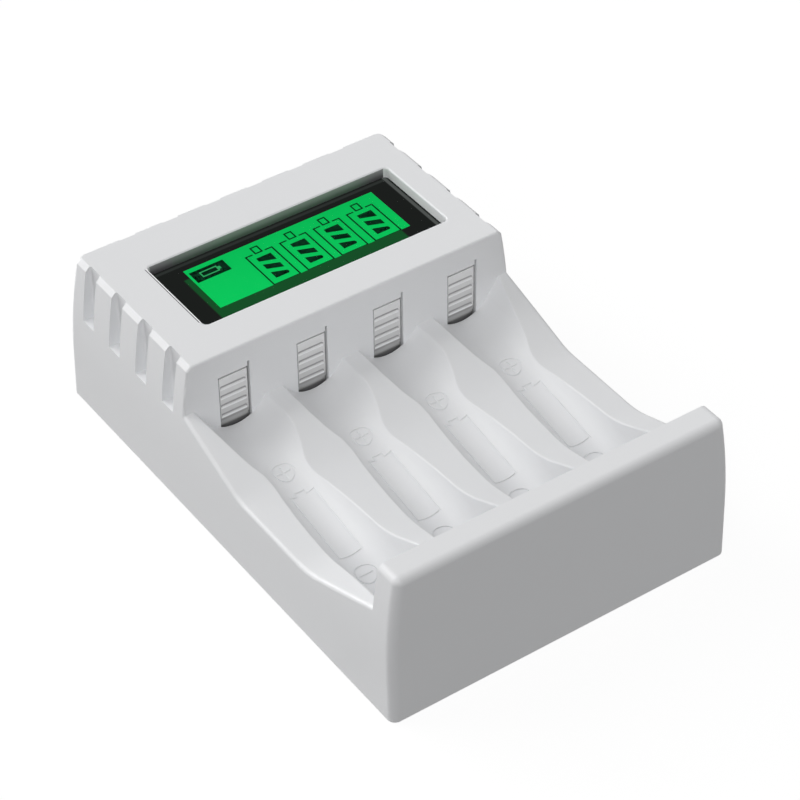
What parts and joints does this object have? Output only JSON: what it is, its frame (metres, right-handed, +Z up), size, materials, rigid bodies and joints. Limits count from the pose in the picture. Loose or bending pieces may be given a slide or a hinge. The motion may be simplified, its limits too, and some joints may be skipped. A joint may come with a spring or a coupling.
{
  "type": "battery charger",
  "caption": "Desk charger for AA and AAA cells: white case with open bays, a raised head with a green backlit display, and a high front wall.",
  "frame": {"origin": "middle of the footprint, on the surface it stands on", "axes": "+X across the bays, to the right as seen from the front wall; +Y from the front wall to the head; +Z up"},
  "size_m": [0.075, 0.1106, 0.034],
  "materials": {
    "case_white": "fine satin grain",
    "base_white": "fine grain",
    "pane": "clear acrylic, gloss",
    "mask_black": "printed, smooth",
    "lcd_glass": "backlit green, with dark symbols",
    "light_guide": "milky",
    "lamp": "moulded lens",
    "frame_plastic": "moulded",
    "elastomer": "striped",
    "board_green": "solder mask",
    "chip_black": "moulded",
    "ferrite": "sintered",
    "capacitor_can": "drawn",
    "crystal_can": "drawn",
    "resistor_dark": "coated",
    "inlet_steel": "plated",
    "nickel": "nickel plated",
    "screw_steel": "zinc plated",
    "foot_rubber": "matt grey",
    "lead_black": "insulation"
  },
  "bodies": {
    "charger": {"upper_housing": "case_white", "base_cover": "base_white", "display_window": "pane", "display_mask": "mask_black", "lcd_panel": "lcd_glass", "lcd_backlight": "light_guide", "backlight_led": "lamp", "lcd_frame": "frame_plastic", "elastomer_strip": "elastomer", "circuit_board": "board_green", "microcontroller": "chip_black", "power_inductor": "ferrite", "input_capacitor": "capacitor_can", "output_capacitor": "capacitor_can", "timing_crystal": "crystal_can", "usb_inlet_shell": "inlet_steel", "usb_inlet_tongue": "chip_black", "contact_rod": "nickel", "contact_carrier": "frame_plastic", "negative_lead": "lead_black", "base_screws": "screw_steel", "board_screws": "screw_steel", "positive_contact_1": "nickel", "positive_contact_2": "nickel", "positive_contact_3": "nickel", "positive_contact_4": "nickel", "charge_transistor_1": "chip_black", "charge_transistor_2": "chip_black", "charge_transistor_3": "chip_black", "charge_transistor_4": "chip_black", "sense_resistor_1": "resistor_dark", "sense_resistor_2": "resistor_dark", "sense_resistor_3": "resistor_dark", "sense_resistor_4": "resistor_dark", "rubber_foot_1": "foot_rubber", "rubber_foot_2": "foot_rubber", "rubber_foot_3": "foot_rubber", "rubber_foot_4": "foot_rubber"},
    "contact_1": {"negative_contact_1": "nickel"},
    "contact_2": {"negative_contact_2": "nickel"},
    "contact_3": {"negative_contact_3": "nickel"},
    "contact_4": {"negative_contact_4": "nickel"}
  },
  "joints": [
    {"name": "contact_swing_1", "type": "hinge", "parent": "charger", "child": "contact_1", "pos_m": [-0.02591, -0.04565, 0.0056], "axis": [-1, 0, 0], "range_deg": [0, 50]},
    {"name": "contact_swing_2", "type": "hinge", "parent": "charger", "child": "contact_2", "pos_m": [-0.00864, -0.04565, 0.0056], "axis": [-1, 0, 0], "range_deg": [0, 50]},
    {"name": "contact_swing_3", "type": "hinge", "parent": "charger", "child": "contact_3", "pos_m": [0.00864, -0.04565, 0.0056], "axis": [-1, 0, 0], "range_deg": [0, 50]},
    {"name": "contact_swing_4", "type": "hinge", "parent": "charger", "child": "contact_4", "pos_m": [0.02591, -0.04565, 0.0056], "axis": [-1, 0, 0], "range_deg": [0, 50]}
  ]
}
